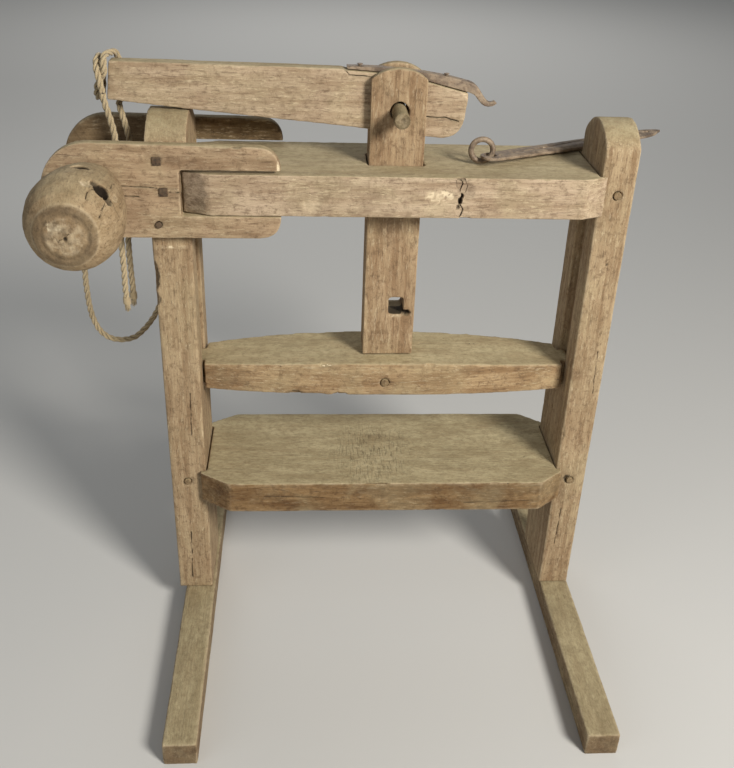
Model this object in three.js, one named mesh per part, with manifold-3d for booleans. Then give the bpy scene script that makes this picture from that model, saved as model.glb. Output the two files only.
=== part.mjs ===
// A small oak lever press: two posts on sled feet carry a bed board and a head beam, a ram with a
// follower board slides between them, and a lever on the ram is hauled down by a rope windlass.
// Millimetres, +Z up, +X towards the hook end of the lever, -Y towards the windlass head.
import * as THREE from 'three';
import { mergeVertices } from 'three/addons/utils/BufferGeometryUtils.js';
import Module from 'manifold-3d';

const wasm = await Module();
wasm.setup();

// ---------------------------------------------------------------- driving dimensions
// X is measured from the ram's middle and Y from the lever's middle plane; the whole press is
// shifted at the end so that the origin is the middle of its footprint.
const BOX_SHIFT_X = 16;
const GAP = 0.3; // what touching pieces keep between them
const SLIDE_GAP = 0.8; // running clearance of sliding wood

const FOOT = { length: 750, width: 48, height: 38, leftX: -288, rightX: 292 };
const POST = { depth: 124, shoulder: 762, crest: 791 };
const RIGHT_HEAD = { back: 46.5, crest: 790 }; // the right post's head is cut back behind
const LEFT_POST = { low: -321, high: -268 };
const RIGHT_POST = { low: 266, high: 314 };
const FOOT_TENON = { width: 26, depth: 84 };

const BED = { bottom: 216, top: 268, depth: 202, flatLow: -231, flatHigh: 236, earEnd: 8, earTip: 8 };
const BEAM = { bottom: 673, top: 728, depth: 157, flatLow: -240, flatHigh: 244, earEnd: 8, earTip: 3 };
const RAIL_TENON = { depth: 78, shoulder: 8 };

const GROOVE = { width: 40, depth: 13 };
const FOLLOWER = {
  low: -265.5, high: 260.5, bottom: 392, endTop: 434, top: 445, middleDepth: 109.4, endDepth: 70,
};
const TONGUE = { width: 38, leftLength: 10, rightLength: 16 };

const RAM = { width: 73, depth: 51, shoulder: 445.3, cheekTop: 837, crown: 851.4, slotFloor: 735 };
const RAM_TENON = { width: 45, depth: 33 };
const RAM_HOLE = { low: -1, high: 19.5, bottom: 510.5, top: 535.5 };
const LEVER_THICKNESS = 24;
const PIN = { x: 1, z: 796.2, radius: 10.6, front: -71, back: 38 };
const LEVER_BORE = 11.2;
const RAM_BORE = { x: 1.4, z: 797, radius: 12 };

const CHEEK = { thickness: 16, bottom: 642.5, endX: -150 };
const WINDLASS = { x: -386, z: 705.6, shaft: 14.5, bore: 15.2, headBack: -80, headFront: -239 };
const CHEEK_ROUND = { x: -388.5, z: 703.7, radius: 62 };

const NAIL = { head: 11, stand: 2.2, shank: 4, length: 38 };
const PEG_RADIUS = 5.5;
const ROPE_RADIUS = 4.5;

// ---------------------------------------------------------------- materials
function material(color, roughness, metalness) {
  return new THREE.MeshStandardMaterial({ color, roughness, metalness });
}

const WOOD = material(0x9a8462, 0.85, 0);
const DARK_WOOD = material(0x7d6748, 0.85, 0);
const PEG_WOOD = material(0x6a563c, 0.85, 0);
const IRON = material(0x6b5a4e, 0.7, 0.6);
const ROPE = material(0xb9a67e, 0.95, 0);

// ---------------------------------------------------------------- helpers
function toSolid(geometry) {
  const bare = geometry.clone();
  bare.deleteAttribute('normal');
  bare.deleteAttribute('uv');
  const merged = mergeVertices(bare, 1e-4);
  const mesh = new wasm.Mesh({
    numProp: 3,
    vertProperties: new Float32Array(merged.attributes.position.array),
    triVerts: new Uint32Array(merged.index.array),
  });
  return new wasm.Manifold(mesh);
}

function toGeometry(solid) {
  const mesh = solid.getMesh();
  const geometry = new THREE.BufferGeometry();
  geometry.setAttribute('position', new THREE.BufferAttribute(mesh.vertProperties, 3));
  geometry.setIndex(new THREE.BufferAttribute(mesh.triVerts, 1));
  geometry.computeVertexNormals();
  return geometry;
}

function carve(body, cutters) {
  let solid = toSolid(body);
  for (const cutter of cutters) {
    solid = solid.subtract(toSolid(cutter));
  }
  return toGeometry(solid);
}

function fuse(pieces) {
  let solid = toSolid(pieces[0]);
  for (const piece of pieces.slice(1)) {
    solid = solid.add(toSolid(piece));
  }
  return toGeometry(solid);
}

function box(x, y, z) {
  const geometry = new THREE.BoxGeometry(x[1] - x[0], y[1] - y[0], z[1] - z[0]);
  return geometry.translate((x[0] + x[1]) / 2, (y[0] + y[1]) / 2, (z[0] + z[1]) / 2);
}

// A shape drawn in plan, from z[0] up to z[1].
function plan(shape, z, segments = 12) {
  const geometry = new THREE.ExtrudeGeometry(shape, {
    depth: z[1] - z[0], bevelEnabled: false, curveSegments: segments,
  });
  return geometry.translate(0, 0, z[0]);
}

// A shape drawn in the X-Z plane as seen from the front, from y[0] back to y[1].
function front(shape, y, segments = 12) {
  const geometry = new THREE.ExtrudeGeometry(shape, {
    depth: y[1] - y[0], bevelEnabled: false, curveSegments: segments,
  });
  return geometry.rotateX(Math.PI / 2).translate(0, y[1], 0);
}

// A shape drawn in the Y-Z plane, from x[0] to x[1].
function side(shape, x, segments = 12) {
  const geometry = new THREE.ExtrudeGeometry(shape, {
    depth: x[1] - x[0], bevelEnabled: false, curveSegments: segments,
  });
  const turn = new THREE.Matrix4().makeBasis(
    new THREE.Vector3(0, 1, 0), new THREE.Vector3(0, 0, 1), new THREE.Vector3(1, 0, 0),
  );
  return geometry.applyMatrix4(turn).translate(x[0], 0, 0);
}

function outline(points) {
  return new THREE.Shape(points.map(([x, y]) => new THREE.Vector2(x, y)));
}

// A round bar along Y through (x, z).
function rodY(radius, x, z, y, sides = 24) {
  const geometry = new THREE.CylinderGeometry(radius, radius, y[1] - y[0], sides);
  return geometry.translate(x, (y[0] + y[1]) / 2, z);
}

function rodX(radius, y, z, x, sides = 16) {
  const geometry = new THREE.CylinderGeometry(radius, radius, x[1] - x[0], sides);
  return geometry.rotateZ(Math.PI / 2).translate((x[0] + x[1]) / 2, y, z);
}

// A round body turned about the axis along Y through (x, z); profile holds [radius, y] pairs.
function turnedY(profile, x, z, segments = 32) {
  const points = profile.map(([radius, y]) => new THREE.Vector2(radius, y));
  return new THREE.LatheGeometry(points, segments).translate(x, 0, z);
}

function smooth(points) {
  const vectors = points.map(([x, y, z]) => new THREE.Vector3(x, y, z));
  return new THREE.CatmullRomCurve3(vectors, false, 'centripetal');
}

function tube(points, radius, steps, sides = 8) {
  const section = new THREE.Shape();
  for (let i = 0; i < sides; i += 1) {
    const angle = (i / sides) * 2 * Math.PI;
    const corner = [radius * Math.cos(angle), radius * Math.sin(angle)];
    if (i === 0) section.moveTo(...corner);
    else section.lineTo(...corner);
  }
  section.closePath();
  return new THREE.ExtrudeGeometry(section, { steps, extrudePath: smooth(points), bevelEnabled: false });
}

const press = new THREE.Group();
press.position.x = BOX_SHIFT_X;

function piece(name, geometry, look) {
  const mesh = new THREE.Mesh(geometry, look);
  mesh.name = name;
  press.add(mesh);
}

// ---------------------------------------------------------------- feet and posts
const halfPost = POST.depth / 2;

function foot(middle) {
  const beam = box(
    [middle - FOOT.width / 2, middle + FOOT.width / 2],
    [-FOOT.length / 2, FOOT.length / 2],
    [0, FOOT.height],
  );
  const mortise = box(
    [middle - FOOT_TENON.width / 2 - GAP, middle + FOOT_TENON.width / 2 + GAP],
    [-FOOT_TENON.depth / 2 - GAP, FOOT_TENON.depth / 2 + GAP],
    [-1, FOOT.height + 1],
  );
  return carve(beam, [mortise]);
}

// Each post is a plank with an arched top, a tenon at its foot and a guide groove on its inner face.
function post(span, innerSide, footMiddle, head) {
  const middle = (head.back - halfPost) / 2;
  const halfHead = (head.back + halfPost) / 2;
  const rise = head.crest - POST.shoulder;
  const radius = (halfHead * halfHead + rise * rise) / (2 * rise);
  const half = Math.asin(halfHead / radius);
  const profile = new THREE.Shape();
  profile.moveTo(-halfPost, FOOT.height + GAP);
  profile.lineTo(halfPost, FOOT.height + GAP);
  if (head.back < halfPost) {
    profile.lineTo(halfPost, BEAM.top);
    profile.lineTo(head.back, BEAM.top);
  }
  profile.lineTo(head.back, POST.shoulder);
  profile.absarc(middle, head.crest - radius, radius, Math.PI / 2 - half, Math.PI / 2 + half, false);
  profile.closePath();
  const plank = side(profile, [span.low, span.high], 16);
  const tenon = box(
    [footMiddle - FOOT_TENON.width / 2, footMiddle + FOOT_TENON.width / 2],
    [-FOOT_TENON.depth / 2, FOOT_TENON.depth / 2],
    [1, FOOT.height + 2],
  );
  const groove = innerSide > 0
    ? [span.high - GROOVE.depth, span.high + 1]
    : [span.low - 1, span.low + GROOVE.depth];
  const cutters = [
    box(
      groove,
      [-GROOVE.width / 2, GROOVE.width / 2],
      [FOLLOWER.bottom - GAP, BEAM.bottom - GAP],
    ),
    railMortise(BED, span),
    railMortise(BEAM, span),
    pegBore(BED_PEG[innerSide]),
    pegBore(BEAM_PEG[innerSide]),
    ...(innerSide > 0 ? cheekNailBores([-halfPost - 1, halfPost + 1]) : []),
  ];
  return carve(fuse([plank, tenon]), cutters);
}

function railMortise(rail, span) {
  return box(
    [span.low - 1, span.high + 1],
    [-RAIL_TENON.depth / 2 - GAP, RAIL_TENON.depth / 2 + GAP],
    [rail.bottom + RAIL_TENON.shoulder - GAP, rail.top - RAIL_TENON.shoulder + GAP],
  );
}

// The nails that hold the windlass cheeks go into the left post.
const CHEEK_NAILS = [[-304, 744], [-298, 704.5], [-307, 660.6]];

function cheekNailBores(y) {
  const reach = NAIL.length - CHEEK.thickness + 1;
  const spans = [[y[0], Math.min(y[1], -halfPost + reach)], [Math.max(y[0], halfPost - reach), y[1]]];
  return spans.flatMap((span) => (
    CHEEK_NAILS.map(([x, z]) => rodY(NAIL.shank + GAP, x, z, span, 12))
  ));
}

// ---------------------------------------------------------------- pegs through the tenons
const BED_PEG = { 1: [-296.4, 246], '-1': [290.3, 244] };
const BEAM_PEG = { 1: [-284, 693], '-1': [291.4, 701] };
const PEG_END = 12;
const PEG_STAND = 1.2;

function pegBore([x, z]) {
  return rodY(PEG_RADIUS + GAP, x, z, [-halfPost - 20, PEG_END + GAP], 12);
}

function peg([x, z], stand) {
  return rodY(PEG_RADIUS, x, z, [-halfPost - stand, PEG_END], 12);
}

// ---------------------------------------------------------------- bed board and head beam
// A rail is an eight-sided board. Its clipped corners run out as ears that lap the posts' faces,
// and a tenon at each end goes right through its post.
function rail(shape) {
  const half = shape.depth / 2;
  const tip = halfPost + GAP + shape.earTip;
  const left = LEFT_POST.high - shape.earEnd;
  const right = RIGHT_POST.low + shape.earEnd;
  const board = plan(outline([
    [shape.flatLow, -half], [shape.flatHigh, -half], [right, -tip], [right, tip],
    [shape.flatHigh, half], [shape.flatLow, half], [left, tip], [left, -tip],
  ]), [shape.bottom, shape.top]);
  const housings = [[left - 1, LEFT_POST.high + GAP], [RIGHT_POST.low - GAP, right + 1]].map((x) => box(
    x, [-halfPost - GAP, halfPost + GAP], [shape.bottom - 1, shape.top + 1],
  ));
  const tenon = box(
    [LEFT_POST.low, RIGHT_POST.high],
    [-RAIL_TENON.depth / 2, RAIL_TENON.depth / 2],
    [shape.bottom + RAIL_TENON.shoulder, shape.top - RAIL_TENON.shoulder],
  );
  return fuse([carve(board, housings), tenon]);
}

piece('left_foot', foot(FOOT.leftX), DARK_WOOD);
piece('right_foot', foot(FOOT.rightX), DARK_WOOD);
piece('left_post', post(LEFT_POST, 1, FOOT.leftX, { back: halfPost, crest: POST.crest }), WOOD);
piece('right_post', post(RIGHT_POST, -1, FOOT.rightX, RIGHT_HEAD), WOOD);

piece('bed_board', carve(rail(BED), [pegBore(BED_PEG[1]), pegBore(BED_PEG[-1])]), WOOD);
const ramWay = box(
  [-RAM.width / 2 - SLIDE_GAP, RAM.width / 2 + SLIDE_GAP],
  [-RAM.depth / 2 - SLIDE_GAP, RAM.depth / 2 + SLIDE_GAP],
  [BEAM.bottom - 1, BEAM.top + 1],
);
piece('head_beam', carve(rail(BEAM), [ramWay, pegBore(BEAM_PEG[1]), pegBore(BEAM_PEG[-1])]), WOOD);

piece('bed_peg_left', peg(BED_PEG[1], PEG_STAND), PEG_WOOD);
piece('bed_peg_right', peg(BED_PEG[-1], PEG_STAND), PEG_WOOD);
piece('beam_peg_left', peg(BEAM_PEG[1], -1), PEG_WOOD);
piece('beam_peg_right', peg(BEAM_PEG[-1], PEG_STAND), PEG_WOOD);

// ---------------------------------------------------------------- follower board
// Boat-shaped in plan and crowned on top, with a tongue at each end that runs in a post's groove.
const FOLLOWER_PEG = { x: -4, z: 414, radius: 6, back: -4 };
const ARC_POINTS = 12;

function followerHalfDepth(x) {
  const middle = (FOLLOWER.low + FOLLOWER.high) / 2;
  const half = (FOLLOWER.high - FOLLOWER.low) / 2;
  const share = Math.abs(x - middle) / half;
  const waist = (FOLLOWER.middleDepth - FOLLOWER.endDepth) / 2;
  return FOLLOWER.endDepth / 2 + waist * (1 - share ** 2.4);
}

function followerShape() {
  const points = [];
  for (let i = 0; i <= ARC_POINTS; i += 1) {
    const x = FOLLOWER.low + ((FOLLOWER.high - FOLLOWER.low) * i) / ARC_POINTS;
    points.push([x, -followerHalfDepth(x)]);
  }
  const back = points.map(([x, y]) => [x, -y]).reverse();
  return outline(points.concat(back));
}

function followerCrown() {
  const middle = (FOLLOWER.low + FOLLOWER.high) / 2;
  const half = (FOLLOWER.high - FOLLOWER.low) / 2;
  const points = [[FOLLOWER.low - 30, FOLLOWER.bottom], [FOLLOWER.high + 30, FOLLOWER.bottom]];
  points.push([FOLLOWER.high + 30, FOLLOWER.endTop]);
  for (let i = ARC_POINTS; i >= 0; i -= 1) {
    const x = FOLLOWER.low + (2 * half * i) / ARC_POINTS;
    const share = (x - middle) / half;
    points.push([x, FOLLOWER.endTop + (FOLLOWER.top - FOLLOWER.endTop) * (1 - share * share)]);
  }
  points.push([FOLLOWER.low - 30, FOLLOWER.endTop]);
  return outline(points);
}

function follower() {
  const board = toSolid(plan(followerShape(), [FOLLOWER.bottom, FOLLOWER.top + 5]));
  const crowned = board.intersect(toSolid(front(followerCrown(), [-80, 80])));
  const tongues = box(
    [FOLLOWER.low - TONGUE.leftLength, FOLLOWER.high + TONGUE.rightLength],
    [-TONGUE.width / 2, TONGUE.width / 2],
    [FOLLOWER.bottom, FOLLOWER.endTop - 1],
  );
  const mortise = box(
    [-RAM_TENON.width / 2 - GAP, RAM_TENON.width / 2 + GAP],
    [-RAM_TENON.depth / 2 - GAP, RAM_TENON.depth / 2 + GAP],
    [FOLLOWER.bottom - 1, FOLLOWER.top + 6],
  );
  return carve(fuse([toGeometry(crowned), tongues]), [mortise, followerPegBore()]);
}

function followerPegBore() {
  const p = FOLLOWER_PEG;
  return rodY(p.radius + GAP, p.x, p.z, [-80, p.back + GAP], 12);
}

piece('follower', follower(), WOOD);
const pegFront = -FOLLOWER.middleDepth / 2 - 1.5;
piece('follower_peg', rodY(FOLLOWER_PEG.radius, FOLLOWER_PEG.x, FOLLOWER_PEG.z,
  [pegFront, FOLLOWER_PEG.back], 12), PEG_WOOD);

// ---------------------------------------------------------------- ram
function ram() {
  const half = RAM.width / 2;
  const rise = RAM.crown - RAM.cheekTop;
  const radius = (half * half + rise * rise) / (2 * rise);
  const sweep = Math.asin(half / radius);
  const shape = new THREE.Shape();
  shape.moveTo(-half, RAM.shoulder);
  shape.lineTo(half, RAM.shoulder);
  shape.lineTo(half, RAM.cheekTop);
  shape.absarc(0, RAM.crown - radius, radius, Math.PI / 2 - sweep, Math.PI / 2 + sweep, false);
  shape.closePath();
  const stem = front(shape, [-RAM.depth / 2, RAM.depth / 2], 14);
  const tenon = box(
    [-RAM_TENON.width / 2, RAM_TENON.width / 2],
    [-RAM_TENON.depth / 2, RAM_TENON.depth / 2],
    [FOLLOWER.bottom + GAP, RAM.shoulder + 2],
  );
  const slotHalf = LEVER_THICKNESS / 2 + SLIDE_GAP;
  return carve(fuse([stem, tenon]), [
    box([-half - 1, half + 1], [-slotHalf, slotHalf], [RAM.slotFloor, RAM.crown + 5]),
    rodY(RAM_BORE.radius, RAM_BORE.x, RAM_BORE.z, [-40, 40], 28),
    box([RAM_HOLE.low, RAM_HOLE.high], [-40, 40], [RAM_HOLE.bottom, RAM_HOLE.top]),
    followerPegBore(),
  ]);
}

piece('ram', ram(), WOOD);
piece('lever_pin', rodY(PIN.radius, PIN.x, PIN.z, [PIN.front, PIN.back], 24), PEG_WOOD);

// ---------------------------------------------------------------- lever and its iron hook
const halfLever = LEVER_THICKNESS / 2;

function lever() {
  const shape = new THREE.Shape();
  shape.moveTo(-371, 801.8);
  shape.lineTo(-268, 791.4);
  shape.lineTo(-60, 772.5);
  shape.lineTo(40, 761);
  shape.lineTo(60, 759.5);
  shape.quadraticCurveTo(84, 761, 88.5, 785);
  shape.lineTo(92, 818.2);
  shape.lineTo(39, 831.4);
  shape.lineTo(-20, 841.4);
  shape.lineTo(-68, 844.8);
  shape.lineTo(-75, 846.7);
  shape.lineTo(-364.5, 850.5);
  shape.closePath();
  const plank = front(shape, [-halfLever, halfLever], 8);
  const bores = HOOK_NAILS.map(([x, z]) => nailBore(x, z));
  return carve(plank, [rodY(LEVER_BORE, PIN.x, PIN.z - GAP, [-30, 30], 28), ...bores]);
}

// The iron lies on the lever's back, thin at the fork end and thick at the hook.
const HOOK_NAILS = [[-50, 848.5], [62, 838.5]];
const HOOK_NAIL = { radius: 1.8, head: 4.2, length: 24 };
const HOOK_HALF_WIDTH = 8;

function nailBore(x, z) {
  const geometry = new THREE.CylinderGeometry(HOOK_NAIL.radius + GAP, HOOK_NAIL.radius + GAP, 60, 10);
  return geometry.rotateX(Math.PI / 2).translate(x, 0, z);
}

function hookNail(x, z) {
  const shank = new THREE.CylinderGeometry(HOOK_NAIL.radius, HOOK_NAIL.radius, HOOK_NAIL.length, 8);
  const head = new THREE.CylinderGeometry(HOOK_NAIL.head, HOOK_NAIL.head, 1.6, 10);
  return fuse([
    shank.rotateX(Math.PI / 2).translate(x, 0, z - HOOK_NAIL.length / 2 + 1),
    head.rotateX(Math.PI / 2).translate(x, 0, z + 1.2),
  ]);
}

function hook() {
  const shape = new THREE.Shape();
  shape.moveTo(-67, 845.1);
  shape.lineTo(-20, 841.7);
  shape.lineTo(39, 831.7);
  shape.lineTo(92.3, 818.5);
  shape.lineTo(98.2, 816);
  shape.bezierCurveTo(104, 812, 108, 801, 118, 800.2);
  shape.quadraticCurveTo(127, 799.6, 130.8, 805);
  shape.lineTo(127, 808.3);
  shape.quadraticCurveTo(121, 804.6, 117, 808.4);
  shape.bezierCurveTo(110, 814, 106, 828, 94, 831.6);
  shape.lineTo(65, 838.3);
  shape.lineTo(34, 843.2);
  shape.lineTo(-24, 848.4);
  shape.lineTo(-67, 849);
  shape.closePath();
  const strap = front(shape, [-HOOK_HALF_WIDTH, HOOK_HALF_WIDTH], 6);
  const narrowing = [-1, 1].map((s) => plan(outline([
    [94, s * HOOK_HALF_WIDTH], [125, s * 4], [140, s * 4], [140, s * 20], [94, s * 20],
  ]), [790, 850]));
  return carve(strap, [...narrowing, ...HOOK_NAILS.map(([x, z]) => nailBore(x, z))]);
}

piece('lever', lever(), WOOD);
piece('lever_hook', hook(), IRON);
HOOK_NAILS.forEach(([x, z], i) => piece(`hook_nail_${i + 1}`, hookNail(x, z + 1), IRON));

// ---------------------------------------------------------------- windlass cheeks
// Two boards nailed to the left post's faces. Each is forked at the right, where it straddles the
// head beam, and round at the left, where the windlass turns in it.
function cheekOutline() {
  const notchTop = BEAM.top + 4;
  const notchBottom = BEAM.bottom - GAP;
  const notchX = LEFT_POST.high - BEAM.earEnd - 1.3;
  const round = CHEEK_ROUND;
  const shape = new THREE.Shape();
  shape.moveTo(round.x, round.z - round.radius);
  shape.lineTo(-180, CHEEK.bottom);
  shape.quadraticCurveTo(CHEEK.endX, CHEEK.bottom, CHEEK.endX, notchBottom);
  shape.lineTo(notchX, notchBottom);
  shape.lineTo(notchX, notchTop);
  shape.lineTo(CHEEK.endX, notchTop);
  shape.bezierCurveTo(CHEEK.endX, 748, -160, 762, -178, 763);
  shape.lineTo(round.x, round.z + round.radius);
  shape.absarc(round.x, round.z, round.radius, Math.PI / 2, Math.PI * 1.5, false);
  return shape;
}

function cheek(facing) {
  const near = halfPost + GAP;
  const far = near + CHEEK.thickness;
  const y = facing < 0 ? [-far, -near] : [near, far];
  const board = front(cheekOutline(), y, 14);
  const bores = CHEEK_NAILS.map(([x, z]) => rodY(NAIL.shank + GAP, x, z, [y[0] - 1, y[1] + 1], 12));
  const bearing = rodY(WINDLASS.bore, WINDLASS.x, WINDLASS.z, [y[0] - 1, y[1] + 1], 28);
  return carve(board, [bearing, ...bores]);
}

function cheekNail(x, z, facing, square) {
  const face = facing * (halfPost + GAP + CHEEK.thickness);
  const headFar = face + facing * NAIL.stand;
  const headNear = face + facing * GAP;
  const half = NAIL.head / 2;
  const head = square
    ? box([x - half, x + half], [Math.min(headNear, headFar), Math.max(headNear, headFar)], [z - half, z + half])
    : rodY(half * 0.85, x, z, [Math.min(headNear, headFar), Math.max(headNear, headFar)], 12);
  const tip = face - facing * NAIL.length;
  const shank = rodY(NAIL.shank, x, z, [Math.min(tip, headFar - facing), Math.max(tip, headFar - facing)], 10);
  return fuse([head, shank]);
}

piece('front_cheek', cheek(-1), WOOD);
piece('rear_cheek', cheek(1), WOOD);
for (const [label, facing] of [['front', -1], ['rear', 1]]) {
  CHEEK_NAILS.forEach(([x, z], i) => {
    piece(`${label}_cheek_nail_${i + 1}`, cheekNail(x, z, facing, i < 2), IRON);
  });
}

// ---------------------------------------------------------------- windlass
// One turned piece: a barrel-shaped head with two cross holes for a handspike, and a shaft that
// runs through both cheeks and is kept by a peg behind the rear one.
const SHAFT_BACK = 98;
const WINDLASS_PEG = { y: 88, radius: 3.6, reach: 24 };
const HEAD_PROFILE = [
  [34, WINDLASS.headBack], [38, -84], [45.5, -108], [52.5, -138], [57, -168], [58, -188],
  [54, -210], [47, -226], [38, -236], [36, -239], [30, -241.5], [28, -241], [20, -243.5],
  [18, -243], [8, -244.5], [0, -245],
];
const HANDSPIKE = { radius: 10, frontY: -200, frontTurn: 47, backY: -158, backTurn: 83 };

function handspikeHole(y, degrees) {
  const hole = new THREE.CylinderGeometry(HANDSPIKE.radius, HANDSPIKE.radius, 160, 16);
  return hole.rotateZ(Math.PI / 2).rotateY((-degrees * Math.PI) / 180).translate(WINDLASS.x, y, WINDLASS.z);
}

function windlass() {
  const profile = [[0, SHAFT_BACK], [WINDLASS.shaft - 2, SHAFT_BACK], [WINDLASS.shaft, SHAFT_BACK - 2],
    [WINDLASS.shaft, WINDLASS.headBack], ...HEAD_PROFILE];
  const turned = turnedY(profile.reverse(), WINDLASS.x, WINDLASS.z, 28);
  const pegHole = new THREE.CylinderGeometry(WINDLASS_PEG.radius + GAP, WINDLASS_PEG.radius + GAP, 60, 12);
  return carve(turned, [
    handspikeHole(HANDSPIKE.frontY, HANDSPIKE.frontTurn),
    handspikeHole(HANDSPIKE.backY, HANDSPIKE.backTurn),
    pegHole.rotateX(Math.PI / 2).translate(WINDLASS.x, WINDLASS_PEG.y, WINDLASS.z),
  ]);
}

piece('windlass', windlass(), WOOD);
const windlassPeg = new THREE.CylinderGeometry(WINDLASS_PEG.radius, WINDLASS_PEG.radius - 0.6,
  2 * WINDLASS_PEG.reach, 12);
piece('windlass_peg', windlassPeg.rotateX(Math.PI / 2)
  .translate(WINDLASS.x, WINDLASS_PEG.y, WINDLASS.z), PEG_WOOD);

// ---------------------------------------------------------------- link bar and ring
// A loose iron bar lying on the head beam, its eye holding the ring that slips over the hook.
const RING = { x: 113.5, y: -18, z: BEAM.top + GAP + 18.8, radius: 14.6, rod: 4.2 };
const BAR = {
  thickness: 4.5, half: 14.5, eye: [125.5, -23], hole: [125.2, -19.3], holeRadius: 7.8,
  bend: [258, 64.6], tip: [418.5, 168],
  rest: 172, // how far from the eye the bar first touches the beam
  lowAtEye: BEAM.top + GAP + 9, lowAtBend: BEAM.top + GAP + 0.3, fallToTip: 3,
};

function linkBar() {
  const eye = new THREE.Vector2(...BAR.eye);
  const bend = new THREE.Vector2(...BAR.bend);
  const tip = new THREE.Vector2(...BAR.tip);
  const first = bend.clone().sub(eye).normalize();
  const second = tip.clone().sub(bend).normalize();
  const at = (from, way, along, left) => [
    from.x + way.x * along - way.y * left,
    from.y + way.y * along + way.x * left,
  ];
  const points = [];
  const turn = Math.atan2(first.y, first.x) + Math.PI / 2;
  for (let i = 0; i <= 8; i += 1) {
    const angle = turn + (Math.PI * i) / 8;
    points.push([eye.x + BAR.half * Math.cos(angle), eye.y + BAR.half * Math.sin(angle)]);
  }
  points.push(at(bend, second, 0, -BAR.half), at(tip, second, -48, -BAR.half), at(tip, second, -24, -10));
  points.push(at(tip, second, -8, -3), at(tip, second, 0, 0), at(tip, second, -5, 6));
  points.push(at(tip, second, -18, 12), at(tip, second, -32, BAR.half + 1), at(tip, second, -48, BAR.half));
  points.push(at(bend, second, 0, BAR.half));
  const hole = (x, y, r, sides = 12) => (
    new THREE.CylinderGeometry(r, r, 30, sides).rotateX(Math.PI / 2).translate(x, y, 0)
  );
  const slot = [-34, -30, -26].map((along) => hole(...at(tip, second, along, 3), 2.8));
  const nailHoles = [[14, -3], [101, 1]].map(([along, left]) => hole(...at(eye, first, along, left), 1.8));
  const flat = plan(outline(points), [0, BAR.thickness]);
  const cut = carve(flat, [hole(...BAR.hole, BAR.holeRadius, 20), ...slot, ...nailHoles]);
  const position = cut.attributes.position;
  for (let i = 0; i < position.count; i += 1) {
    const along = (position.getX(i) - eye.x) * first.x + (position.getY(i) - eye.y) * first.y;
    const share = along / BAR.rest;
    const low = share < 1
      ? BAR.lowAtEye + (BAR.lowAtBend - BAR.lowAtEye) * share
      : BAR.lowAtBend - BAR.fallToTip * (share - 1);
    position.setZ(i, position.getZ(i) + low);
  }
  cut.computeVertexNormals();
  return cut;
}

piece('link_bar', linkBar(), IRON);
const ring = new THREE.TorusGeometry(RING.radius, RING.rod, 8, 26);
piece('link_ring', ring.rotateX(Math.PI / 2).translate(RING.x, RING.y, RING.z), IRON);

// ---------------------------------------------------------------- ropes
// The hitch goes twice round the lever's tail; its two ends hang past the windlass shaft.
const HITCH = [
  [-373.5, -20, 812], [-375.6, -19.8, 828], [-378.2, -17, 839.5], [-379, -10, 848.5], [-377.8, -2, 852.8],
  [-377.3, 6, 851.6], [-377.4, 12, 843], [-377.5, 13.4, 830], [-377.8, 11.6, 816], [-379.2, 7, 805.5],
  [-381.6, 0.5, 802], [-382.8, -5.6, 806.5], [-381.4, -9, 816], [-376.6, -9, 827.5], [-370.4, -15, 835.5],
  [-369.2, -17.3, 843], [-369, -15.8, 852], [-367.4, -9, 857], [-364, 0, 857.2], [-361, 9, 856.8],
  [-358.2, 16.2, 853.6], [-356.4, 19, 845], [-356, 18.4, 825], [-358.5, 17.8, 805], [-361, 17, 790],
];
const ROPE_END_GAP = 1;
const FRONT_STRAND = [
  [-373.4, -20, 812 - ROPE_END_GAP], [-372, -20, 801], [-369.5, -20, 790], [-366.2, -20, 776],
  [-363.3, -20.4, 759], [-362.8, -22, 738], [-364, -25, 700], [-365.4, -28, 660], [-366, -31, 620],
  [-366, -32, 575], [-366.5, -32.5, 550], [-366, -32, 528],
];
const REAR_STRAND = [
  [-360.2, 16.8, 790 - 6.5 * ROPE_END_GAP], [-357, 16, 772], [-351.5, 13, 748], [-351, 8, 715],
  [-354, 2, 680], [-358.5, -4, 645], [-361, -8, 612], [-361.4, -8.6, 570], [-360.8, -9, 545], [-361, -9.5, 526],
];
const WRAPS = { front: 30, back: 57 };
const SLACK = [
  [-405.6, 34.5, 684], [-409, 35, 664], [-419, 36, 625], [-430, 37, 585], [-435.5, 38, 546],
  [-436, 38, 516], [-434.2, 38, 484], [-430, 38, 465], [-423, 38, 450], [-412, 38, 440],
  [-399, 38, 436], [-386, 39, 436], [-374, 40, 439.5], [-364, 42, 447], [-354, 44, 457.5],
  [-341, 47, 476], [-331, 50, 500], [-327.5, 52, 530], [-327, 52.5, 570], [-327.5, 52.5, 610],
  [-334, 52.5, 640], [-350, 52.5, 660], [-362, 52.5, 672], [-366.4, 52.5, 684],
];

piece('lever_hitch', tube(HITCH, ROPE_RADIUS, 46), ROPE);
piece('rope_front', fuse([tube(FRONT_STRAND, ROPE_RADIUS, 16), knot(FRONT_STRAND.at(-1))]), ROPE);
piece('rope_rear', fuse([tube(REAR_STRAND, ROPE_RADIUS, 15), knot(REAR_STRAND.at(-1))]), ROPE);
piece('windlass_wraps', turnedY([
  [WINDLASS.shaft + GAP, WRAPS.front], [WINDLASS.shaft + 2 * ROPE_RADIUS, WRAPS.front],
  [WINDLASS.shaft + 2 * ROPE_RADIUS, WRAPS.back], [WINDLASS.shaft + GAP, WRAPS.back],
  [WINDLASS.shaft + GAP, WRAPS.front],
], WINDLASS.x, WINDLASS.z, 24), ROPE);
piece('slack_rope', tube(SLACK, ROPE_RADIUS, 40), ROPE);

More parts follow.
